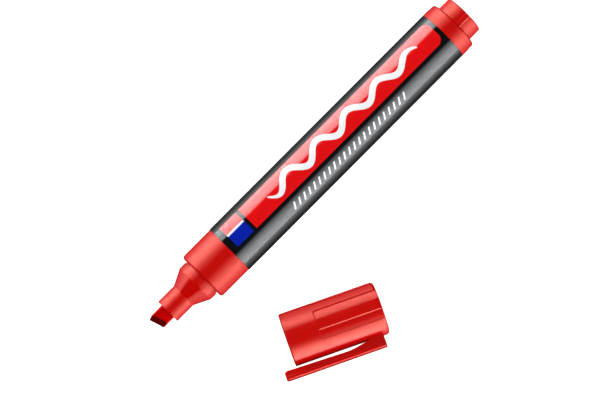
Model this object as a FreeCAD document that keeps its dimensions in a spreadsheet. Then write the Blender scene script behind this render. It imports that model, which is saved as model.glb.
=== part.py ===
"""Permanent felt tip marker with a chisel nib, its pocket-clip cap lying beside it.

The marker lies on its barrel along X with the nib at the -X end, and +Z is up. Each piece of the
marker is turned about the marker's own axis, with x counted rearwards from the nib's long point.
The cap's pieces are drawn in the cap's own frame, with x counted from its mouth to its closed end
and the clip on the -Y side. The origin is the middle of the whole part's base.
"""
import FreeCAD, Part
import os
import re

import Sketcher

# Driving dimensions in millimetres and degrees: name, value, what it is.
SIZES = [
    # nose
    ("nib_reach", 5.6, "tube face back from the nib's long point"),
    ("tube_length", 6.5, "tip tube"),
    ("cone_length", 4.85, "cone between tip tube and neck"),
    ("neck_length", 2.75, "neck that the cap fits over"),
    ("collar_length", 11.3, "grip collar"),
    ("tube_radius", 4.0, "tip tube outside"),
    ("neck_radius", 6.4, "neck outside"),
    ("collar_radius", 8.1, "collar outside"),
    ("collar_rounding", 0.9, "front edge of the collar"),
    ("cone_blend", 0.3, "rounding at both ends of the cone"),
    ("relief_width", 0.3, "groove between neck and collar"),
    ("relief_depth", 0.3, "groove between neck and collar"),
    ("nib_gap", 0.07, "clearance around the nib"),
    ("ledge_depth", 8.0, "reservoir ledge, forward of the barrel's front edge"),
    ("spigot_length", 6.0, "nose and plug reach inside the barrel"),
    # nib
    ("nib_radius", 2.55, "felt rod"),
    ("nib_length", 36.0, "felt rod, point to inner end"),
    ("nib_slant", 1.4, "short corner behind the long point"),
    ("nib_corner", 0.5, "width of the corner taken off the long point"),
    ("nib_corner_run", 1.5, "length of the same corner"),
    ("nib_tip_half", 1.1, "half thickness at the writing end"),
    ("nib_root_half", 1.9, "half thickness at the tube face"),
    ("bevel_run", 1.3, "writing bevel along the flat"),
    ("bevel_drop", 1.9, "writing bevel across the thickness"),
    # barrel
    ("barrel_length", 88.7, "aluminium tube"),
    ("barrel_radius", 8.25, "aluminium tube outside"),
    ("barrel_wall", 0.45, "aluminium tube wall"),
    ("rim_rounding", 0.15, "edges of the tube"),
    # ink
    ("cavity_radius", 6.95, "room for the reservoir in nose and plug"),
    ("wrap_radius", 6.85, "film wrap outside"),
    ("film_wall", 0.15, "film wrap"),
    ("reservoir_tail", 3.0, "reservoir's rear end, forward of the barrel's rear edge"),
    ("reservoir_gap", 0.2, "reservoir clear of its ledge"),
    # end plug
    ("flange_length", 2.6, "flange flush with the barrel"),
    ("shoulder_length", 1.9, "second ring"),
    ("shoulder_radius", 8.15, "second ring outside"),
    ("shoulder_slope", 0.3, "rear face of the second ring, rising to the stub"),
    ("stub_length", 4.6, "stub that the cap can be parked on"),
    ("stub_radius", 6.4, "stub outside"),
    ("stub_bore", 4.8, "hollow of the stub"),
    ("plug_wall", 1.4, "end wall of the plug"),
    ("shoulder_rounding", 0.7, "outer edge of the second ring"),
    ("stub_rounding", 0.6, "end edge of the stub"),
    ("stub_flute_depth", 0.25, "shallow flutes along the stub"),
    ("stub_flute_half_angle", 5.0, "half the width of a flute's floor"),
    ("stub_flute_first", 99.3, "turn of the first flute from +Y"),
    # cap
    ("cap_length", 29.2, "mouth to closed end"),
    ("cap_radius", 8.05, "outside"),
    ("cap_end_rounding", 1.1, "edge of the closed end"),
    ("mouth_rounding", 0.25, "lip of the mouth"),
    ("cap_bore", 6.5, "bore that fits neck and stub"),
    ("cap_bore_depth", 9.0, "length of that bore"),
    ("cap_inner_bore", 5.9, "deeper bore that holds the liner"),
    ("cap_end_wall", 1.8, "closed end"),
    ("panel_start", 9.5, "grip panels, back from the mouth"),
    ("panel_depth", 0.3, "grip panels, sunk below the surface"),
    ("panel_half_angle", 10.0, "half the width of a grip panel's floor"),
    ("panel_pitch", 45.0, "turn from one grip panel to the next, an eighth of a turn"),
    ("panel_first", 112.5, "turn of the first grip panel from the side opposite the clip"),
    # liner
    ("liner_flange", 1.2, "liner's mouth ring"),
    ("liner_radius", 5.1, "liner outside"),
    ("liner_bore", 4.15, "liner's socket for the tip tube"),
    ("liner_depth", 15.5, "liner, end to end"),
    ("liner_floor", 1.0, "closed end of the liner"),
    # clip
    ("clip_outer", 11.5, "clip's outer face from the cap's axis"),
    ("clip_plate", 1.15, "outer plate of the clip"),
    ("clip_width", 3.6, "outer plate across"),
    ("clip_rib_width", 3.1, "inner rib across"),
    ("clip_edge_rounding", 0.45, "long outer edges of the plate"),
    ("clip_step_rounding", 0.15, "plate's edges beside the rib"),
    ("clip_back", 2.1, "rear face of the clip's root, forward of the closed end"),
    ("slot_end", 22.6, "closed end of the slot behind the clip, back from the mouth"),
    ("slot_end_inner", 8.2, "arm side of the slot at its closed end, from the cap's axis"),
    ("clip_split", 21.2, "where the flexing arm leaves its root, back from the mouth"),
    ("clip_overhang", 3.9, "clip beyond the mouth"),
    ("arm_inner_root", 8.45, "arm's inner face at its root, from the cap's axis"),
    ("arm_bend", 16.8, "where the arm's inner face turns in towards its root, from the mouth"),
    ("arm_bend_rounding", 20.0, "that turn"),
    ("arm_inner_bend", 9.25, "arm's inner face at that turn, from the cap's axis"),
    ("arm_inner_tip", 8.75, "arm's inner face at its tip, from the cap's axis"),
    ("clip_tip_rounding", 0.8, "corners of the clip's tip"),
    # where the cap lies
    ("cap_centre_back", 37.3, "cap's middle behind the nib's long point"),
    ("cap_centre_aside", 37.06, "cap's middle to the side of the marker's axis"),
    ("cap_yaw", 25.8, "cap's axis turned from the marker's, seen from above"),
    ("cap_roll", 11.25, "clip lifted off the surface"),
]
VALUE = {name: value for name, value, _ in SIZES}

# Stations along the marker, as sums of the dimensions above.
CONE_FRONT = "nib_reach + tube_length"
NECK_FRONT = CONE_FRONT + " + cone_length"
COLLAR_FRONT = NECK_FRONT + " + neck_length"
BARREL_FRONT = COLLAR_FRONT + " + collar_length"
BARREL_BACK = BARREL_FRONT + " + barrel_length"
FLANGE_BACK = BARREL_BACK + " + flange_length"
SHOULDER_BACK = FLANGE_BACK + " + shoulder_length"
STUB_BACK = SHOULDER_BACK + " + stub_length"
LEDGE = BARREL_FRONT + " - ledge_depth"
RESERVOIR_FRONT = LEDGE + " + reservoir_gap"
RESERVOIR_BACK = BARREL_BACK + " - reservoir_tail"
SPIGOT_RADIUS = "barrel_radius - barrel_wall"
NIB_BORE = "nib_radius + nib_gap"
# Room that a cutting outline reaches past the piece it cuts.
OVERCUT = "1"

doc = FreeCAD.newDocument("marker")


def total(expression):
    """The value of a sum of named sizes and plain numbers."""
    result = 0.0
    for sign, term in re.findall(r"([+-]?)\s*([a-z_]+|[\d.]+)", expression):
        value = VALUE[term] if term in VALUE else float(term)
        result += -value if sign == "-" else value
    return result


def bound(expression):
    """The same sum, with each name pointing at its cell in the sheet."""
    return re.sub(r"[a-z_]+", lambda name: "Sizes." + name.group(), expression)


def make_sheet():
    sheet = doc.addObject("Spreadsheet::Sheet", "Sizes")
    for row, (name, value, note) in enumerate(SIZES, start=1):
        sheet.set(f"A{row}", name)
        sheet.set(f"B{row}", str(value))
        sheet.setAlias(f"B{row}", name)
        sheet.set(f"C{row}", note)
    doc.recompute()


def new_body(label):
    body = doc.addObject("PartDesign::Body", label)
    body.Label = label
    return body


def origin_plane(body, role):
    return next(f for f in body.Origin.OriginFeatures if f.Role == role)


def outline(body, label, corners, role="XY_Plane"):
    """A closed outline whose corners are pairs of sums of sizes, each bound to the sheet."""
    sketch = body.newObject("Sketcher::SketchObject", label)
    sketch.AttachmentSupport = [(origin_plane(body, role), "")]
    sketch.MapMode = "FlatFace"
    points = [FreeCAD.Vector(total(x), total(y), 0) for x, y in corners]
    count = len(points)
    for n in range(count):
        sketch.addGeometry(Part.LineSegment(points[n], points[(n + 1) % count]), False)
    for n in range(count):
        sketch.addConstraint(Sketcher.Constraint("Coincident", n, 2, (n + 1) % count, 1))
    for n, pair in enumerate(corners):
        for kind, expression in zip(("DistanceX", "DistanceY"), pair):
            if expression == "0":
                axis = -2 if kind == "DistanceX" else -1
                sketch.addConstraint(Sketcher.Constraint("PointOnObject", n, 1, axis))
                continue
            index = sketch.addConstraint(
                Sketcher.Constraint(kind, -1, 1, n, 1, total(expression)))
            sketch.setExpression(f"Constraints[{index}]", bound(expression))
    return sketch


def turned(label, corners):
    """A body turned about its X axis from half of its long section."""
    body = new_body(label)
    section = outline(body, label + "_section", corners)
    turn = body.newObject("PartDesign::Revolution", label + "_turn")
    turn.Profile = section
    turn.ReferenceAxis = (section, ["H_Axis"])
    turn.Angle = 360
    doc.recompute()
    return body


def padded(body, label, corners, width):
    """A pad of an outline in the XY plane, half of its width on each side."""
    pad = body.newObject("PartDesign::Pad", label + "_pad")
    pad.Profile = outline(body, label + "_outline", corners)
    pad.Midplane = True
    pad.setExpression("Length", bound(width))
    doc.recompute()


def trimmed(body, label, corners, role):
    """Cuts an outline right through, both ways from its plane, and checks that it removes something."""
    before = body.Shape.Volume
    pocket = body.newObject("PartDesign::Pocket", label)
    pocket.Profile = outline(body, label + "_outline", corners, role)
    pocket.Type = "ThroughAll"
    pocket.Midplane = True
    doc.recompute()
    if not body.Shape.Volume < before:
        raise RuntimeError(f"{label} cuts nothing")
    return pocket


def turn_section(section, axis, angle, station="0"):
    """Turns a section about the body's X axis, which is the section's own given axis, and slides
    it off its plane."""
    section.AttachmentOffset = FreeCAD.Placement(
        FreeCAD.Vector(0, 0, total(station)), FreeCAD.Rotation(axis, total(angle)))
    section.setExpression("AttachmentOffset.Rotation.Angle", bound(angle))
    section.setExpression("AttachmentOffset.Base.z", bound(station))


def fluted(body, label, ends, radius, depth, first, pitch, half_angle, count, sloped_front):
    """Sinks a channel with sloping side walls, open at its rear, and repeats it about the X axis.

    ends are its stations and radius the body's own at its front. first is the turn of the first
    channel and half_angle half the width of its floor. The front wall slopes too, or stands upright.
    """
    before = body.Shape.Volume
    front, back = ends
    outside = f"{radius} + {OVERCUT}"
    bottom = f"{radius} - {depth}"
    section = outline(body, label + "_section", [
        (f"{front} + {depth}" if sloped_front else front, bottom),
        (f"{front} - {OVERCUT}" if sloped_front else front, outside),
        (back, outside),
        (back, bottom),
    ])
    turn_section(section, FreeCAD.Vector(1, 0, 0), first)
    channel = body.newObject("PartDesign::Groove", label)
    channel.Profile = section
    channel.ReferenceAxis = (section, ["H_Axis"])
    channel.Midplane = True
    channel.setExpression("Angle", bound(f"{half_angle} + {half_angle}"))
    doc.recompute()
    cuts = [channel]
    for side, sign in (("upper", "+"), ("lower", "-")):
        wedge = outline(body, f"{label}_{side}_wedge", [
            (bottom, "0"),
            (outside, "0"),
            (outside, f"0 {sign} {depth} {sign} {OVERCUT}"),
        ], "YZ_Plane")
        station = f"{front} + {depth}" if sloped_front else front
        turn_section(wedge, FreeCAD.Vector(0, 0, 1), f"{first} {sign} {half_angle}", station)
        wall = body.newObject("PartDesign::Pocket", f"{label}_{side}_wall")
        wall.Profile = wedge
        wall.Type = "ThroughAll"
        wall.Reversed = True
        doc.recompute()
        if not body.Shape.Volume < before:
            raise RuntimeError(f"{wall.Label} cuts nothing")
        before = body.Shape.Volume
        cuts.append(wall)
    pattern = body.newObject("PartDesign::PolarPattern", label + "_pattern")
    pattern.Originals = cuts
    pattern.Axis = (section, ["H_Axis"])
    pattern.Occurrences = count
    pattern.setExpression("Angle", f"{count - 1} * ({bound(pitch)})")
    body.Tip = pattern
    doc.recompute()
    if not body.Shape.Volume < before:
        raise RuntimeError(f"{label} isn't repeated")


def edges_where(shape, test):
    return [f"Edge{n}" for n, edge in enumerate(shape.Edges, start=1) if test(edge)]


def ring_at(station, radius):
    """Picks the full circle at a station along X, of a given radius."""
    def test(edge):
        curve = edge.Curve
        return (isinstance(curve, Part.Circle)
                and abs(curve.Center.x - total(station)) < 0.01
                and abs(curve.Radius - total(radius)) < 0.01)
    return test


def rounded(body, label, radius, *tests):
    """Rounds the edges that any of the tests picks."""
    names = edges_where(body.Shape, lambda edge: any(test(edge) for test in tests))
    if not names:
        raise RuntimeError(f"{label} finds no edge")
    base = body.Tip
    fillet = body.newObject("PartDesign::Fillet", label)
    fillet.Base = (base, names)
    fillet.setExpression("Radius", bound(radius))
    doc.recompute()


def make_nose():
    """Red moulding: tip tube, cone, neck, grip collar and the spigot pressed into the barrel."""
    spigot_end = BARREL_FRONT + " + spigot_length"
    relief_front = COLLAR_FRONT + " - relief_width"
    relief_radius = "neck_radius - relief_depth"
    body = turned("nose_section", [
        ("nib_reach", NIB_BORE),
        ("nib_reach", "tube_radius"),
        (CONE_FRONT, "tube_radius"),
        (NECK_FRONT, "neck_radius"),
        (relief_front, "neck_radius"),
        (relief_front, relief_radius),
        (COLLAR_FRONT, relief_radius),
        (COLLAR_FRONT, "collar_radius"),
        (BARREL_FRONT, "collar_radius"),
        (BARREL_FRONT, SPIGOT_RADIUS),
        (spigot_end, SPIGOT_RADIUS),
        (spigot_end, "cavity_radius"),
        (LEDGE, "cavity_radius"),
        (LEDGE, NIB_BORE),
    ])
    rounded(body, "collar_edge", "collar_rounding", ring_at(COLLAR_FRONT, "collar_radius"))
    rounded(body, "cone_edges", "cone_blend",
            ring_at(CONE_FRONT, "tube_radius"), ring_at(NECK_FRONT, "neck_radius"))
    rounded(body, "tube_edge", "rim_rounding", ring_at("nib_reach", "tube_radius"))
    return body


def make_nib():
    """Felt rod ground to a slanted chisel: two flats, a slanted end and a writing bevel."""
    body = new_body("nib")
    rod = body.newObject("Sketcher::SketchObject", "rod_outline")
    rod.AttachmentSupport = [(origin_plane(body, "YZ_Plane"), "")]
    rod.MapMode = "FlatFace"
    rod.addGeometry(Part.Circle(FreeCAD.Vector(), FreeCAD.Vector(0, 0, 1), total("nib_radius")))
    rod.addConstraint(Sketcher.Constraint("Coincident", 0, 3, -1, 1))
    index = rod.addConstraint(Sketcher.Constraint("Radius", 0, total("nib_radius")))
    rod.setExpression(f"Constraints[{index}]", bound("nib_radius"))
    pad = body.newObject("PartDesign::Pad", "rod_pad")
    pad.Profile = rod
    pad.setExpression("Length", bound("nib_length"))
    doc.recompute()
    # The slanted end, seen from above, with its long point on the +Y side.
    trimmed(body, "slant", [
        ("nib_corner_run", "nib_radius"),
        ("0", "nib_radius - nib_corner"),
        ("nib_slant", "0 - nib_radius"),
        ("nib_slant", "0 - nib_radius - " + OVERCUT),
        ("0 - " + OVERCUT, "0 - nib_radius - " + OVERCUT),
        ("0 - " + OVERCUT, "nib_radius + " + OVERCUT),
        ("nib_corner_run", "nib_radius + " + OVERCUT),
    ], "XY_Plane")
    # The upper flat, which runs out on the rod inside the tube, and its twin below.
    flat_back = "nib_reach + nib_reach"
    flat = trimmed(body, "upper_flat", [
        ("0", "nib_tip_half"),
        (flat_back, "nib_root_half + nib_root_half - nib_tip_half"),
        (flat_back, "nib_radius + " + OVERCUT),
        ("0", "nib_radius + " + OVERCUT),
    ], "XZ_Plane")
    twin = body.newObject("PartDesign::Mirrored", "lower_flat")
    twin.Originals = [flat]
    twin.MirrorPlane = (origin_plane(body, "XY_Plane"), [""])
    body.Tip = twin
    doc.recompute()

    def writing_edge(edge):
        box = edge.BoundBox
        return (box.ZMin > 0 and box.XMax < total("nib_slant") + 0.1
                and box.YLength > total("nib_radius"))

    names = edges_where(body.Shape, writing_edge)
    base = body.Tip
    bevel = body.newObject("PartDesign::Chamfer", "writing_bevel")
    bevel.Base = (base, names)
    bevel.ChamferType = "Two distances"
    bevel.setExpression("Size", bound("bevel_drop"))
    bevel.setExpression("Size2", bound("bevel_run"))
    doc.recompute()
    return body


def make_barrel():
    """Aluminium tube, open at both ends."""
    body = turned("barrel_tube", [
        (BARREL_FRONT, SPIGOT_RADIUS),
        (BARREL_FRONT, "barrel_radius"),
        (BARREL_BACK, "barrel_radius"),
        (BARREL_BACK, SPIGOT_RADIUS),
    ])
    rounded(body, "tube_rims", "rim_rounding",
            ring_at(BARREL_FRONT, "barrel_radius"), ring_at(BARREL_BACK, "barrel_radius"))
    return body


def make_reservoir():
    """Fibre bundle that holds the ink, with the hole that the nib pushes into it."""
    socket_end = "nib_length + reservoir_gap"
    return turned("ink_reservoir", [
        (RESERVOIR_FRONT, NIB_BORE),
        (RESERVOIR_FRONT, "wrap_radius - film_wall"),
        (RESERVOIR_BACK, "wrap_radius - film_wall"),
        (RESERVOIR_BACK, "0"),
        (socket_end, "0"),
        (socket_end, NIB_BORE),
    ])


def make_wrap():
    """Film tube around the fibre bundle."""
    return turned("reservoir_wrap", [
        (RESERVOIR_FRONT, "wrap_radius - film_wall"),
        (RESERVOIR_FRONT, "wrap_radius"),
        (RESERVOIR_BACK, "wrap_radius"),
        (RESERVOIR_BACK, "wrap_radius - film_wall"),
    ])


def make_plug():
    """Red moulding that closes the barrel: spigot, flange, second ring and fluted stub."""
    cup_front = BARREL_BACK + " - spigot_length"
    stub_floor = STUB_BACK + " - plug_wall"
    shoulder_top = SHOULDER_BACK + " + shoulder_slope"
    body = turned("end_plug", [
        (cup_front, "cavity_radius"),
        (cup_front, SPIGOT_RADIUS),
        (BARREL_BACK, SPIGOT_RADIUS),
        (BARREL_BACK, "barrel_radius"),
        (FLANGE_BACK, "barrel_radius"),
        (FLANGE_BACK, "shoulder_radius"),
        (SHOULDER_BACK, "shoulder_radius"),
        (shoulder_top, "stub_radius"),
        (STUB_BACK, "stub_radius"),
        (STUB_BACK, "0"),
        (stub_floor, "0"),
        (stub_floor, "stub_bore"),
        (BARREL_BACK, "stub_bore"),
        (BARREL_BACK, "cavity_radius"),
    ])
    rounded(body, "stub_edge", "stub_rounding", ring_at(STUB_BACK, "stub_radius"))
    rounded(body, "shoulder_edge", "shoulder_rounding",
            ring_at(SHOULDER_BACK, "shoulder_radius"))
    fluted(body, "stub_flutes", (shoulder_top, f"{STUB_BACK} + {OVERCUT}"),
           "stub_radius", "stub_flute_depth", "stub_flute_first", "90",
           "stub_flute_half_angle", count=4, sloped_front=False)
    return body


def make_cap():
    """Red moulding: a cup with sunk grip panels and the root that the clip springs from."""
    body = turned("cap_shell", [
        ("0", "cap_bore"),
        ("0", "cap_radius"),
        ("cap_length", "cap_radius"),
        ("cap_length", "0"),
        ("cap_length - cap_end_wall", "0"),
        ("cap_length - cap_end_wall", "cap_inner_bore"),
        ("cap_bore_depth", "cap_inner_bore"),
        ("cap_bore_depth", "cap_bore"),
    ])
    rounded(body, "closed_end_edge", "cap_end_rounding", ring_at("cap_length", "cap_radius"))
    rounded(body, "mouth_lip", "mouth_rounding", ring_at("0", "cap_radius"),
            ring_at("0", "cap_bore"))
    fluted(body, "grip_panels", ("panel_start", f"cap_length + {OVERCUT}"),
           "cap_radius", "panel_depth", "0 - panel_first", "panel_pitch",
           "panel_half_angle", count=6, sloped_front=True)
    # The root stands on the shell, and a short piece of the arm hangs from it.
    embedded = "0 - cap_inner_bore - " + OVERCUT
    plate_inner = "0 - clip_outer + clip_plate"
    back = "cap_length - clip_back"
    padded(body, "clip_web", [
        ("slot_end", embedded),
        (back, embedded),
        (back, plate_inner),
        ("clip_split", plate_inner),
        ("clip_split", "0 - arm_inner_root"),
        ("slot_end", "0 - slot_end_inner"),
    ], "clip_rib_width")
    padded(body, "clip_root_plate", [
        ("clip_split", plate_inner),
        (back, plate_inner),
        (back, "0 - clip_outer"),
        ("clip_split", "0 - clip_outer"),
    ], "clip_width")
    round_plate(body)
    return body


def across_at(station, level):
    """Picks an edge that runs straight across the clip at a station along X and a level along Y."""
    def test(edge):
        box = edge.BoundBox
        return (box.XLength < 0.01 and box.YLength < 0.01
                and abs(box.XMin - total(station)) < 0.01 and abs(box.YMin - total(level)) < 0.01)
    return test


def plate_edge(level):
    """Picks the plate's long edges at a level along Y."""
    def test(edge):
        box = edge.BoundBox
        return (box.ZLength < 0.01 and box.YLength < 0.01 and box.XLength > 1
                and abs(box.YMin - total(level)) < 0.01
                and abs(abs(box.ZMin) - total("clip_width") / 2) < 0.01)
    return test


def round_plate(body):
    """Rounds the long edges of the clip's outer plate, outside and beside the rib."""
    rounded(body, "plate_outer_edges", "clip_edge_rounding", plate_edge("0 - clip_outer"))
    rounded(body, "plate_step_edges", "clip_step_rounding",
            plate_edge("0 - clip_outer + clip_plate"))


def make_clip():
    """The clip's free arm: an outer plate with a narrower rib under it, thicker at the root."""
    body = new_body("cap_clip")
    tip = "0 - clip_overhang"
    plate_inner = "0 - clip_outer + clip_plate"
    padded(body, "clip_plate_arm", [
        ("clip_split", "0 - clip_outer"),
        ("clip_split", plate_inner),
        (tip, plate_inner),
        (tip, "0 - clip_outer"),
    ], "clip_width")
    rounded(body, "plate_tip", "clip_tip_rounding", across_at(tip, "0 - clip_outer"))
    round_plate(body)
    padded(body, "clip_rib", [
        ("clip_split", plate_inner),
        ("clip_split", "0 - arm_inner_root"),
        ("arm_bend", "0 - arm_inner_bend"),
        (tip, "0 - arm_inner_tip"),
        (tip, plate_inner),
    ], "clip_rib_width")
    rounded(body, "rib_tip", "clip_tip_rounding", across_at(tip, "0 - arm_inner_tip"))
    rounded(body, "arm_turn", "arm_bend_rounding", across_at("arm_bend", "0 - arm_inner_bend"))
    return body


def make_liner():
    """Pale inner cup that seals around the tip tube when the cap is on."""
    back = "cap_bore_depth + liner_depth"
    return turned("cap_liner", [
        ("cap_bore_depth", "liner_bore"),
        ("cap_bore_depth", "cap_inner_bore"),
        ("cap_bore_depth + liner_flange", "cap_inner_bore"),
        ("cap_bore_depth + liner_flange", "liner_radius"),
        (back, "liner_radius"),
        (back, "0"),
        (back + " - liner_floor", "0"),
        (back + " - liner_floor", "liner_bore"),
    ])


def place(marker_pieces, cap_pieces):
    """Lays the marker and the cap on the ground, then moves the middle of their base to the origin."""
    z_axis = FreeCAD.Vector(0, 0, 1)
    x_axis = FreeCAD.Vector(1, 0, 0)
    marker = FreeCAD.Placement(FreeCAD.Vector(0, 0, total("barrel_radius")), FreeCAD.Rotation())
    middle = FreeCAD.Vector(total("cap_centre_back"), -total("cap_centre_aside"),
                            total("cap_radius"))
    turn = (FreeCAD.Rotation(z_axis, -total("cap_yaw"))
            * FreeCAD.Rotation(x_axis, -total("cap_roll")))
    half_cap = turn.multVec(FreeCAD.Vector(total("cap_length") / 2, 0, 0))
    cap = FreeCAD.Placement(middle - half_cap, turn)
    for pieces, where in ((marker_pieces, marker), (cap_pieces, cap)):
        for piece in pieces:
            piece.Placement = where
    doc.recompute()
    low = FreeCAD.Vector(1e9, 1e9, 1e9)
    high = -low
    for piece in marker_pieces + cap_pieces:
        box = piece.Shape.optimalBoundingBox(False, False)
        low = FreeCAD.Vector(min(low.x, box.XMin), min(low.y, box.YMin), min(low.z, box.ZMin))
        high = FreeCAD.Vector(max(high.x, box.XMax), max(high.y, box.YMax), max(high.z, box.ZMax))
    shift = FreeCAD.Placement(FreeCAD.Vector(-(low.x + high.x) / 2, -(low.y + high.y) / 2, -low.z),
                              FreeCAD.Rotation())
    for piece in marker_pieces + cap_pieces:
        piece.Placement = shift.multiply(piece.Placement)
    doc.recompute()


def check_and_write(pieces):
    for item in doc.Objects:
        if {"Invalid", "Error"} & set(item.State):
            raise RuntimeError(f"{item.Label} is {item.State}")
    os.makedirs("parts", exist_ok=True)
    for piece in pieces:
        shape = piece.Shape
        if shape.isNull() or not shape.isValid() or len(shape.Solids) != 1:
            raise RuntimeError(f"{piece.Label} isn't one valid solid")
        shape.exportStep(f"parts/{piece.Label}.step")
        box = shape.optimalBoundingBox(False, False)
        print(f"{piece.Label:15s} {shape.Volume:9.1f} mm3  x {box.XMin:7.2f} {box.XMax:7.2f}"
              f"  y {box.YMin:7.2f} {box.YMax:7.2f}  z {box.ZMin:6.2f} {box.ZMax:6.2f}")


make_sheet()
marker_pieces = [make_nose(), make_nib(), make_barrel(), make_reservoir(), make_wrap(),
                 make_plug()]
cap_pieces = [make_cap(), make_clip(), make_liner()]
place(marker_pieces, cap_pieces)
check_and_write(marker_pieces + cap_pieces)
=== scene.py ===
"""Looks for the felt tip marker and its cap: materials, printed marks, felt nib, studio and camera.

Everything is in metres, in the CAD's own frame: the marker lies along X with its nib at the -X end, the
cap lies on its -Y side and +Z is up. Places along the marker are worked out from the CAD nodes' boxes.
Angles round the barrel are counted from straight up, positive towards the cap.
"""
import math

import bmesh
import bpy
from mathutils import Matrix, Vector, noise


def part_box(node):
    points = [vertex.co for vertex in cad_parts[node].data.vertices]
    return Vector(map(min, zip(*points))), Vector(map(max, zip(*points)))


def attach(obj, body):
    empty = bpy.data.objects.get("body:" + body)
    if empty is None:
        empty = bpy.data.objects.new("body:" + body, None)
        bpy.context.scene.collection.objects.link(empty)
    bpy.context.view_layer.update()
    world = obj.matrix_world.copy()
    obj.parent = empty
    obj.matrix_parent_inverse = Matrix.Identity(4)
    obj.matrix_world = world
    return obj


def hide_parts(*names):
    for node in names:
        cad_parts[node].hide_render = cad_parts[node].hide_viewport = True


MM = 0.001
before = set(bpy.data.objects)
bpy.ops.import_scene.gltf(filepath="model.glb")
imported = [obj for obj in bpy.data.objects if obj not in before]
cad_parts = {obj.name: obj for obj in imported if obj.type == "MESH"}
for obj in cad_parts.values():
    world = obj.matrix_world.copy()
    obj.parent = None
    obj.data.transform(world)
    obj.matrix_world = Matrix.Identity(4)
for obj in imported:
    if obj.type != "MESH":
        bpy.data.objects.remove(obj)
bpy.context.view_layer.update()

barrel_low, barrel_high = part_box("barrel_tube")
nib_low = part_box("nib")[0]
AXIS_Y = (barrel_low.y + barrel_high.y) / 2
AXIS_Z = (barrel_low.z + barrel_high.z) / 2
BARREL_RADIUS = (barrel_high.z - barrel_low.z) / 2

CAP_NODES = ("cap_shell", "cap_clip", "cap_liner")
PLASTIC_NODES = ("nose_section", "end_plug")

# Linear colours.
RED_PLASTIC = (0.50, 0.0006, 0.0005)
RED_INK = (0.66, 0.003, 0.004)
BLUE_INK = (0.0012, 0.012, 0.34)
WHITE_INK = (0.78, 0.80, 0.82)
BLACK_LACQUER = (0.0035, 0.0038, 0.0045)
LINER_WHITE = (0.78, 0.75, 0.69)

# The plastic's highlights are strong and red, the print's a little bluish.
PLASTIC_IOR = 1.95
PLASTIC_TINT = (1.0, 0.38, 0.30, 1)
PRINT_IOR = 1.75
PRINT_TINT = (0.95, 0.99, 1.0, 1)
PRINT_ROUGHNESS = (0.05, 0.10)


# ---------------------------------------------------------------- materials

def add(tree, kind, **values):
    """A node with the named inputs set. An underscore in an input's name stands for a space."""
    node = tree.nodes.new(kind)
    for name, value in values.items():
        node.inputs[name.replace("_", " ")].default_value = value
    return node


def new_material(name):
    made = bpy.data.materials.new(name)
    made.use_nodes = True
    tree = made.node_tree
    return made, tree, tree.nodes["Principled BSDF"]


def noise_at(tree, along, across, detail=2.0):
    """Noise with about so many patches to a metre along X, and so many across it."""
    node = add(tree, "ShaderNodeTexNoise", Scale=1.0, Detail=detail)
    coordinates = tree.nodes.new("ShaderNodeTexCoord")
    mapping = add(tree, "ShaderNodeMapping", Scale=(along, across, across))
    tree.links.new(coordinates.outputs["Object"], mapping.inputs["Vector"])
    tree.links.new(mapping.outputs["Vector"], node.inputs["Vector"])
    return node.outputs["Fac"]


def ranged(tree, value, low, high, start=0.0, end=1.0):
    """A value that runs from start to end, spread from low to high."""
    node = add(tree, "ShaderNodeMapRange", From_Min=start, From_Max=end, To_Min=low, To_Max=high)
    tree.links.new(value, node.inputs["Value"])
    return node.outputs["Result"]


def mixed(tree, factor, first, second):
    """A colour between two. The first is a colour or an output that gives one."""
    node = tree.nodes.new("ShaderNodeMix")
    node.data_type = "RGBA"
    if isinstance(first, tuple):
        node.inputs["A"].default_value = (*first, 1)
    else:
        tree.links.new(first, node.inputs["A"])
    node.inputs["B"].default_value = (*second, 1)
    tree.links.new(factor, node.inputs["Factor"])
    return node.outputs["Result"]


def product(tree, first, second):
    """An output times another output or a number."""
    node = tree.nodes.new("ShaderNodeMath")
    node.operation = "MULTIPLY"
    tree.links.new(first, node.inputs[0])
    if isinstance(second, float):
        node.inputs[1].default_value = second
    else:
        tree.links.new(second, node.inputs[1])
    return node.outputs[0]


def one_axis(tree, vector, axis):
    split = tree.nodes.new("ShaderNodeSeparateXYZ")
    tree.links.new(vector, split.inputs["Vector"])
    return split.outputs[axis]


def bumped(tree, shader, height, distance, strength, under=None):
    """Relief as high as distance, on top of another bump's if that is given."""
    node = add(tree, "ShaderNodeBump", Strength=strength, Distance=distance)
    tree.links.new(height, node.inputs["Height"])
    if under:
        tree.links.new(under, node.inputs["Normal"])
    tree.links.new(node.outputs["Normal"], shader.inputs["Normal"])
    return node.outputs["Normal"]


def shade(colour, share):
    return tuple(c * share for c in colour)


def plastic(name, roughness):
    """Glossy moulded plastic: faintly cloudy, wavy over millimetres and grained over tenths of one."""
    made, tree, shader = new_material(name)
    shader.inputs["IOR"].default_value = PLASTIC_IOR
    shader.inputs["Specular Tint"].default_value = PLASTIC_TINT
    clouds = noise_at(tree, 90, 90, detail=3)
    tree.links.new(mixed(tree, clouds, shade(RED_PLASTIC, 0.93), shade(RED_PLASTIC, 1.07)),
                   shader.inputs["Base Color"])
    patches = noise_at(tree, 700, 700)
    tree.links.new(ranged(tree, patches, roughness - 0.03, roughness + 0.03),
                   shader.inputs["Roughness"])
    waves = bumped(tree, shader, noise_at(tree, 420, 420), 0.004 * MM, 0.6)
    bumped(tree, shader, noise_at(tree, 9000, 9000), 0.0015 * MM, 0.5, waves)
    return made


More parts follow.
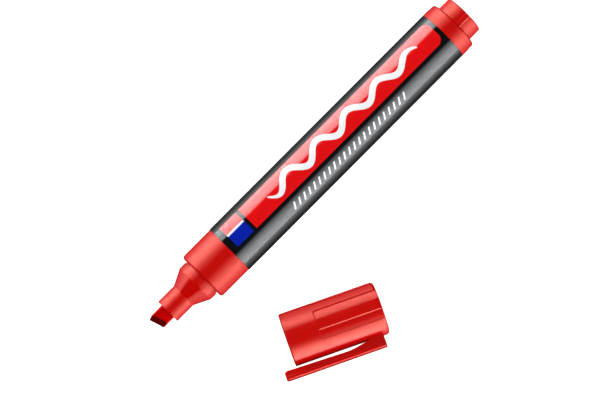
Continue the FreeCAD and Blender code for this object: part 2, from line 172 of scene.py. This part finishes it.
def gloss_print(name, colour):
    """Lacquer or ink on the drawn tube, with the tube's faint lengthwise lines under it."""
    made, tree, shader = new_material(name)
    shader.inputs["IOR"].default_value = PRINT_IOR
    shader.inputs["Specular Tint"].default_value = PRINT_TINT
    lines = noise_at(tree, 60, 2600, detail=3)
    tree.links.new(mixed(tree, lines, shade(colour, 0.92), shade(colour, 1.08)),
                   shader.inputs["Base Color"])
    streaks = noise_at(tree, 25, 1500, detail=4)
    tree.links.new(ranged(tree, streaks, *PRINT_ROUGHNESS), shader.inputs["Roughness"])
    bumped(tree, shader, streaks, 0.004 * MM, 0.35)
    return made


def felt(name, pale, dark, end_grain_and_shade):
    """Bonded fibres that run along X, soaked with ink. Faces turned towards -X are darker: partly the
    cut fibres' own tone, partly painted shade on the nib's ground facet.
    """
    made, tree, shader = new_material(name)
    fibres = noise_at(tree, 700, 9000, detail=5)
    blotches = noise_at(tree, 500, 700, detail=3)
    paleness = ranged(tree, product(tree, fibres, blotches), 0.0, 1.0, start=0.12, end=0.40)
    along = mixed(tree, paleness, dark, pale)
    coordinates = tree.nodes.new("ShaderNodeTexCoord")
    outward = one_axis(tree, coordinates.outputs["Normal"], "X")
    # Painted shade: faces turned towards -X take the darker end colour, which stands partly for the cut
    # fibres and partly for shade on the ground facet.
    cut_end_and_shade = ranged(tree, outward, 0.0, 1.0, start=-0.35, end=-0.6)
    tree.links.new(mixed(tree, cut_end_and_shade, along, end_grain_and_shade), shader.inputs["Base Color"])
    shader.inputs["Roughness"].default_value = 0.9
    shader.inputs["Specular IOR Level"].default_value = 0.02
    bumped(tree, shader, fibres, 0.05 * MM, 0.9)
    return made


def milky(name, colour, roughness):
    """Natural polyethylene or thin film, a little see-through."""
    made, tree, shader = new_material(name)
    shader.inputs["Subsurface Weight"].default_value = 0.4
    shader.inputs["Subsurface Scale"].default_value = 0.5 * MM
    clouds = noise_at(tree, 300, 300, detail=3)
    tree.links.new(mixed(tree, clouds, shade(colour, 0.94), colour), shader.inputs["Base Color"])
    patches = noise_at(tree, 2500, 2500)
    tree.links.new(ranged(tree, patches, roughness - 0.06, roughness + 0.06),
                   shader.inputs["Roughness"])
    bumped(tree, shader, noise_at(tree, 3500, 3500), 0.004 * MM, 0.5)
    return made


def dress_cad_nodes():
    finishes = {
        "barrel_tube": gloss_print("barrel_lacquer", BLACK_LACQUER),
        "nose_section": plastic("nose_plastic", roughness=0.15),
        "end_plug": plastic("plug_plastic", roughness=0.15),
        "cap_shell": plastic("cap_plastic", roughness=0.16),
        "cap_clip": plastic("clip_plastic", roughness=0.16),
        "cap_liner": milky("liner_plastic", LINER_WHITE, roughness=0.45),
        "reservoir_wrap": milky("reservoir_film", LINER_WHITE, roughness=0.3),
        "ink_reservoir": felt("reservoir_fibre", pale=(0.55, 0.02, 0.02), dark=(0.2, 0.0, 0.0),
                              end_grain_and_shade=(0.3, 0.0, 0.0)),
    }
    for node, finish in finishes.items():
        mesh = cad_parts[node].data
        mesh.materials.clear()
        mesh.materials.append(finish)


# ---------------------------------------------------------------- printed marks

# A print stands this much over the barrel's surface and reaches this much below it.
PRINT_PROUD = 0.012 * MM
PRINT_SUNK = 0.06 * MM
ACROSS_STEP = math.radians(2.0)
SHARP_EDGE = math.radians(40)

BLOCK_START = barrel_low.x + 2.25 * MM
BLOCK_LENGTH = 6.55 * MM
PANEL_START = BLOCK_START + BLOCK_LENGTH + 1.15 * MM
PANEL_END = barrel_high.x - 1.45 * MM
PANEL_CORNER = 2.3 * MM
PRINT_TOP = math.radians(-50.5)
PRINT_BOTTOM = math.radians(8.8)


def on_barrel(x, angle, height):
    """A point over the barrel's surface."""
    radius = BARREL_RADIUS + height
    return Vector((x, AXIS_Y - radius * math.sin(angle), AXIS_Z + radius * math.cos(angle)))


def wrapped(name, rows, finish, layer=1):
    """A closed thin shell on the barrel. rows is pairs of (x, angle) points, one pair across each row.
    Layer 2 lies on top of layer 1."""
    widest = max(abs(b[1] - a[1]) for a, b in rows)
    steps = max(2, math.ceil(widest / ACROSS_STEP))
    made = bmesh.new()

    def grid(height):
        return [[made.verts.new(on_barrel(a[0] + (b[0] - a[0]) * n / steps,
                                          a[1] + (b[1] - a[1]) * n / steps, height))
                 for n in range(steps + 1)] for a, b in rows]

    top = grid(PRINT_PROUD * layer)
    bottom = grid(-PRINT_SUNK)
    last = len(rows) - 1
    for row in range(last):
        for n in range(steps):
            made.faces.new((top[row][n], top[row][n + 1], top[row + 1][n + 1], top[row + 1][n]))
            made.faces.new((bottom[row][n], bottom[row + 1][n],
                            bottom[row + 1][n + 1], bottom[row][n + 1]))
        for n in (0, steps):
            made.faces.new((top[row][n], top[row + 1][n], bottom[row + 1][n], bottom[row][n]))
    for row in (0, last):
        for n in range(steps):
            made.faces.new((top[row][n], top[row][n + 1], bottom[row][n + 1], bottom[row][n]))
    bmesh.ops.recalc_face_normals(made, faces=made.faces)
    mesh = bpy.data.meshes.new(name)
    made.to_mesh(mesh)
    made.free()
    mesh.shade_smooth()
    mesh.set_sharp_from_angle(angle=SHARP_EDGE)
    mesh.materials.append(finish)
    piece = bpy.data.objects.new(name, mesh)
    # No gloss shows the prints, as none shows the barrel.
    piece.visible_glossy = False
    bpy.context.scene.collection.objects.link(piece)
    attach(piece, "marker")


def between(low, high, count):
    """Evenly spaced values, with both ends among them."""
    return [low + (high - low) * n / (count - 1) for n in range(count)]


def print_panel(red):
    """Long red panel with square front corners and round rear ones."""
    corner_angle = PANEL_CORNER / BARREL_RADIUS
    rows = [((x, PRINT_TOP), (x, PRINT_BOTTOM))
            for x in between(PANEL_START, PANEL_END - PANEL_CORNER, 25)]
    for turn in between(0, math.pi / 2, 13)[1:]:
        x = PANEL_END - PANEL_CORNER * (1 - math.sin(turn))
        inset = corner_angle * (1 - math.cos(turn))
        rows.append(((x, PRINT_TOP + inset), (x, PRINT_BOTTOM - inset)))
    wrapped("panel_print", rows, red)


def print_block(red, white, blue):
    """Small block of plain lengthwise bands: red, a narrow white one, and blue."""
    # Where each band starts and ends, as shares of the block's width.
    bands = (("block_red", red, 0.0, 0.44), ("block_white", white, 0.44, 0.52),
             ("block_blue", blue, 0.52, 1.0))
    for name, ink, first, last in bands:
        top = PRINT_TOP + (PRINT_BOTTOM - PRINT_TOP) * first
        bottom = PRINT_TOP + (PRINT_BOTTOM - PRINT_TOP) * last
        rows = [((x, top), (x, bottom)) for x in between(BLOCK_START, BLOCK_START + BLOCK_LENGTH, 5)]
        wrapped(name, rows, ink)


def print_wave(white):
    """One white pen stroke that swings along the panel, less and less, and tapers at both ends."""
    swings = 5
    points_per_swing = 40
    reach = 2.15 * MM
    reach_lost = 0.35
    half_width = 1.0 * MM
    width_at_ends = 0.25
    widening = 9
    # A chisel's stroke is wider where it runs along the panel than where it runs across it.
    width_across = 0.78
    width_gained_along = 0.22
    start = PANEL_START + 8.6 * MM
    end = PANEL_END - 7.0 * MM
    middle = math.radians(-20.5)
    count = points_per_swing * swings + 1
    line = []
    for u in between(0.0, 1.0, count):
        fade = 1 - reach_lost * u
        line.append(Vector((start + (end - start) * u,
                            middle * BARREL_RADIUS + reach * fade * math.sin(math.tau * swings * u))))
    rows = []
    for n, point in enumerate(line):
        along = (line[min(n + 1, count - 1)] - line[max(n - 1, 0)]).normalized()
        u = n / (count - 1)
        taper = min(1.0, width_at_ends + widening * min(u, 1 - u))
        chisel = width_across + width_gained_along * along.x
        side = Vector((-along.y, along.x)) * half_width * taper * chisel
        rows.append(tuple((p.x, p.y / BARREL_RADIUS) for p in (point - side, point + side)))
    wrapped("panel_wave", rows, white, layer=2)


def print_dashes(white):
    """Row of short slanted strokes on the lacquer beside the panel."""
    start = barrel_low.x + 22.5 * MM
    pitch = 2.05 * MM
    count = 23
    middle = math.radians(33)
    half_height = math.radians(8)
    lean = 0.55 * MM
    half_stroke = 0.27 * MM
    for n in range(count):
        x = start + pitch * n
        rows = [((x + slide - lean, middle + half_height), (x + slide + lean, middle - half_height))
                for slide in (-half_stroke, half_stroke)]
        wrapped(f"dash_{n + 1:02d}", rows, white)


# ---------------------------------------------------------------- felt nib

VOXEL = 0.13 * MM
# The felt's relief in mm, and how far its surface is drawn in so that it stays inside the tip tube.
STRAND_HEIGHT = 0.022
PIT_HEIGHT = 0.014
DRAWN_IN = 0.02


def make_nib():
    """The ground felt rod with a surface of real fibres: the CAD rod, remeshed finely and roughened."""
    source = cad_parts["nib"]
    blank = bpy.data.objects.new("nib_blank", source.data.copy())
    bpy.context.scene.collection.objects.link(blank)
    weld = blank.modifiers.new("weld", "WELD")
    weld.merge_threshold = 0.001 * MM
    remesh = blank.modifiers.new("remesh", "REMESH")
    remesh.mode = "VOXEL"
    remesh.voxel_size = VOXEL
    bpy.context.view_layer.update()
    mesh = bpy.data.meshes.new_from_object(
        blank.evaluated_get(bpy.context.evaluated_depsgraph_get()))
    bpy.data.objects.remove(blank)
    mesh.name = "felt_nib"
    normals = [v.normal.copy() for v in mesh.vertices]
    for vertex, normal in zip(mesh.vertices, normals):
        x, y, z = vertex.co / MM
        strand = noise.fractal(Vector((x * 0.55, y * 3.2, z * 3.2)), 0.8, 2.1, 3)
        pit = noise.noise(Vector((x * 2.2, y * 2.6, z * 2.6)))
        vertex.co += normal * MM * (STRAND_HEIGHT * strand + PIT_HEIGHT * pit - DRAWN_IN)
    mesh.shade_smooth()
    mesh.materials.clear()
    # The darker end colour is partly painted shade on the nib's ground facet.
    mesh.materials.append(felt("nib_felt", pale=(0.60, 0.0, 0.0), dark=(0.26, 0.0, 0.0),
                               end_grain_and_shade=(0.085, 0.0, 0.0)))
    piece = bpy.data.objects.new("felt_nib", mesh)
    bpy.context.scene.collection.objects.link(piece)
    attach(piece, "nib")
    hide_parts("nib")


# ---------------------------------------------------------------- studio and camera

def make_floor():
    """Pale floor, lit up so that shadows on it are faint."""
    mesh = bpy.data.meshes.new("floor")
    half = 6.0
    corners = [(-half, -half, 0), (half, -half, 0), (half, half, 0), (-half, half, 0)]
    mesh.from_pydata(corners, [], [(0, 1, 2, 3)])
    made, _, shader = new_material("floor_white")
    shader.inputs["Base Color"].default_value = (0.5, 0.5, 0.5, 1)
    shader.inputs["Roughness"].default_value = 0.9
    shader.inputs["Specular IOR Level"].default_value = 0.0
    shader.inputs["Emission Color"].default_value = (1, 1, 1, 1)
    shader.inputs["Emission Strength"].default_value = 1.0
    mesh.materials.append(made)
    floor = bpy.data.objects.new("floor", mesh)
    bpy.context.scene.collection.objects.link(floor)
    floor.visible_glossy = False
    floor.visible_shadow = False


SOFTBOX_LENGTH = 1.4
SOFTBOX_DISTANCE = 0.5
# How far from its middle a softbox turns dimmer, and what share of its brightness is left there.
END_START = 0.36
END_LEVEL = 0.5

# A softbox's brightness from top to bottom, as pairs of (degrees from straight up as seen
# from the barrel's axis, radiance). The far side is +Y and the near side is -Y.
BARREL_FAR_PROFILE = [(46, 0), (48.5, 3.0), (55, 3.3), (64, 4.15), (74, 4.55), (85, 4.8),
                      (96, 5.0), (101, 2.2), (109, 1.1), (125, 0.3), (147, 0.03)]
BARREL_NEAR_PROFILE = [(32, 0), (37, 0.67), (46, 1.7), (55, 2.55), (64, 3.4), (74, 3.93),
                       (85, 3.9), (91, 4.2), (95, 1.76), (109, 0.72), (125, 0.16), (147, 0.02)]
PLASTIC_FAR_PROFILE = [(17, 0), (21, 0.2), (29, 0.6), (38, 1.2), (47, 2.1), (56, 3.1), (65, 3.9),
                       (75, 4.1), (86, 3.8), (98, 2.5), (112, 1.1), (128, 0.35), (147, 0.1)]
PLASTIC_NEAR_PROFILE = [(17, 0), (21, 0.12), (29, 0.36), (38, 0.8), (47, 1.4), (56, 2.1), (65, 2.6),
                        (75, 2.9), (86, 2.7), (98, 1.7), (112, 0.8), (128, 0.3), (147, 0.1)]
CAP_FAR_PROFILE = [(32, 0), (38, 0.5), (44, 1.3), (50, 2.3), (56, 2.8), (66, 3.05), (76, 2.9),
                   (87, 2.1), (99, 1.1), (113, 0.6), (131, 0.25), (147, 0.1)]
CAP_NEAR_PROFILE = [(24, 0), (29.5, 0.25), (38, 0.78), (47, 1.75), (56, 3.0), (66, 4.0), (76, 4.6),
                    (87, 4.6), (99, 2.7), (113, 1.0), (131, 0.2), (147, 0.05)]

# Round lamps light only the matt part of a surface: two for each group, one on either side, and one
# straight above for everything.
SIDE_FILL_DISTANCE = 0.8
SIDE_FILL_HEIGHT = 0.2
SIDE_FILL_SIZE = 1.0
SIDE_FILL_POWER = 9.5
TOP_FILL_HEIGHT = 1.3
TOP_FILL_SIZE = 3.2
TOP_FILL_POWER = 26.5

# How bright the world is to every ray but the camera's.
WORLD_LIGHT = 0.008


def place_lamp(name, light, place, facing, group):
    """A lamp at a place, turned to face a direction, that the camera doesn't see. With a group, it
    lights only the group, and only the group stands in its way."""
    lamp = bpy.data.objects.new(name, light)
    lamp.location = place
    lamp.rotation_mode = "QUATERNION"
    lamp.rotation_quaternion = facing.to_track_quat("-Z", "Y")
    lamp.visible_camera = False
    if group:
        lamp.light_linking.receiver_collection = group
        lamp.light_linking.blocker_collection = group
    bpy.context.scene.collection.objects.link(lamp)
    return lamp


def softbox(name, side, profile, group):
    """An upright strip light beside the marker, facing it, that only gloss shows."""
    heights = [(AXIS_Z + SOFTBOX_DISTANCE / math.tan(math.radians(angle)), level)
               for angle, level in profile]
    top = max(h for h, _ in heights)
    bottom = min(h for h, _ in heights)
    light = bpy.data.lights.new(name, "AREA")
    light.shape = "RECTANGLE"
    light.size = SOFTBOX_LENGTH
    light.size_y = top - bottom
    # At this power, the emission's strength is the radiance.
    light.energy = math.pi * SOFTBOX_LENGTH * (top - bottom)
    light.use_nodes = True
    tree = light.node_tree
    ramp = tree.nodes.new("ShaderNodeValToRGB")
    peak = max(level for _, level in profile)
    stops = sorted(((h - bottom) / (top - bottom), level / peak) for h, level in heights)
    elements = ramp.color_ramp.elements
    while len(elements) < len(stops):
        elements.new(0.5)
    for element, (position, level) in zip(elements, stops):
        element.position = position
        element.color = (level, level, level, 1)
    over_light = tree.nodes.new("ShaderNodeNewGeometry").outputs["Parametric"]
    tree.links.new(one_axis(tree, over_light, "Y"), ramp.inputs["Fac"])
    near_middle = tree.nodes.new("ShaderNodeMath")
    near_middle.operation = "COMPARE"
    near_middle.inputs[1].default_value = 0.5
    near_middle.inputs[2].default_value = END_START / SOFTBOX_LENGTH
    tree.links.new(one_axis(tree, over_light, "X"), near_middle.inputs[0])
    radiance = product(tree, ramp.outputs["Color"], peak)
    dimming = ranged(tree, near_middle.outputs[0], END_LEVEL, 1.0)
    tree.links.new(product(tree, radiance, dimming), tree.nodes["Emission"].inputs["Strength"])
    place = (0, AXIS_Y + side * SOFTBOX_DISTANCE, (top + bottom) / 2)
    lamp = place_lamp(name, light, place, Vector((0, -side, 0)), group)
    lamp.visible_diffuse = False


def diffuse_lamp(name, place, size, power, group=None):
    """A round lamp that faces the marker, and that no gloss shows."""
    light = bpy.data.lights.new(name, "AREA")
    light.shape = "DISK"
    light.size = size
    light.energy = power
    lamp = place_lamp(name, light, place, Vector((0, 0, AXIS_Z)) - Vector(place), group)
    lamp.visible_glossy = False


def light_group(name, nodes, link_state):
    """The nodes, or with EXCLUDE everything but them."""
    group = bpy.data.collections.new(name)
    for node in nodes:
        group.objects.link(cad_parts[node])
    for linked in group.collection_objects:
        linked.light_linking.link_state = link_state
    return group


def make_lights():
    """The plastic ends and the cap have side lights of their own, and all the rest shares the barrel's.
    Nothing stands in a group's side lights but the group. Gloss shows the plastic ends and the felt
    nib, and no other piece."""
    for name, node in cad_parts.items():
        node.visible_glossy = name in PLASTIC_NODES
    groups = [("barrel", CAP_NODES + PLASTIC_NODES, "EXCLUDE", BARREL_FAR_PROFILE, BARREL_NEAR_PROFILE),
              ("ends", PLASTIC_NODES, "INCLUDE", PLASTIC_FAR_PROFILE, PLASTIC_NEAR_PROFILE),
              ("cap", CAP_NODES, "INCLUDE", CAP_FAR_PROFILE, CAP_NEAR_PROFILE)]
    sides = (("far", 1), ("near", -1))
    for target, nodes, link_state, far, near in groups:
        group = light_group("light_on_" + target, nodes, link_state)
        for (label, side), profile in zip(sides, (far, near)):
            softbox(f"softbox_{label}_{target}", side, profile, group)
        for label, side in sides:
            place = (0, AXIS_Y + side * SIDE_FILL_DISTANCE, SIDE_FILL_HEIGHT)
            diffuse_lamp(f"side_fill_{label}_{target}", place, SIDE_FILL_SIZE, SIDE_FILL_POWER, group)
    diffuse_lamp("fill", (0, 0, TOP_FILL_HEIGHT), TOP_FILL_SIZE, TOP_FILL_POWER)


def make_world():
    """White to the camera and nearly dark to everything else."""
    world = bpy.data.worlds.new("studio")
    world.use_nodes = True
    tree = world.node_tree
    background = tree.nodes["Background"]
    path = tree.nodes.new("ShaderNodeLightPath")
    tree.links.new(ranged(tree, path.outputs["Is Camera Ray"], WORLD_LIGHT, 1.0),
                   background.inputs["Strength"])
    background.inputs["Color"].default_value = (1, 1, 1, 1)
    bpy.context.scene.world = world


def make_camera():
    """Long lens straight above, leaning a little towards the nib, with the marker running diagonally."""
    slope = math.radians(45.11)
    lean = math.radians(2.5)
    distance = 1.039
    aim_behind_point = 55.96 * MM
    aim_beside_axis = 4.39 * MM
    camera = bpy.data.cameras.new("camera")
    camera.sensor_width = 36
    camera.lens = 213
    camera.clip_start = 0.05
    camera.clip_end = 20
    holder = bpy.data.objects.new("camera", camera)
    tilt = Matrix.Rotation(-lean, 3, "Y")
    right = tilt @ Vector((math.cos(slope), -math.sin(slope), 0))
    up = tilt @ Vector((math.sin(slope), math.cos(slope), 0))
    back = right.cross(up)
    aim = Vector((nib_low.x + aim_behind_point, AXIS_Y - aim_beside_axis, AXIS_Z))
    turn = Matrix((right, up, back)).transposed()
    holder.matrix_world = Matrix.Translation(aim + back * distance) @ turn.to_4x4()
    bpy.context.scene.collection.objects.link(holder)
    bpy.context.scene.camera = holder


dress_cad_nodes()
red_ink = gloss_print("red_ink", RED_INK)
white_ink = gloss_print("white_ink", WHITE_INK)
print_panel(red_ink)
print_block(red_ink, white_ink, gloss_print("blue_ink", BLUE_INK))
print_wave(white_ink)
print_dashes(white_ink)
make_nib()
make_floor()
make_lights()
make_world()
make_camera()
bpy.context.scene.view_settings.view_transform = "Standard"
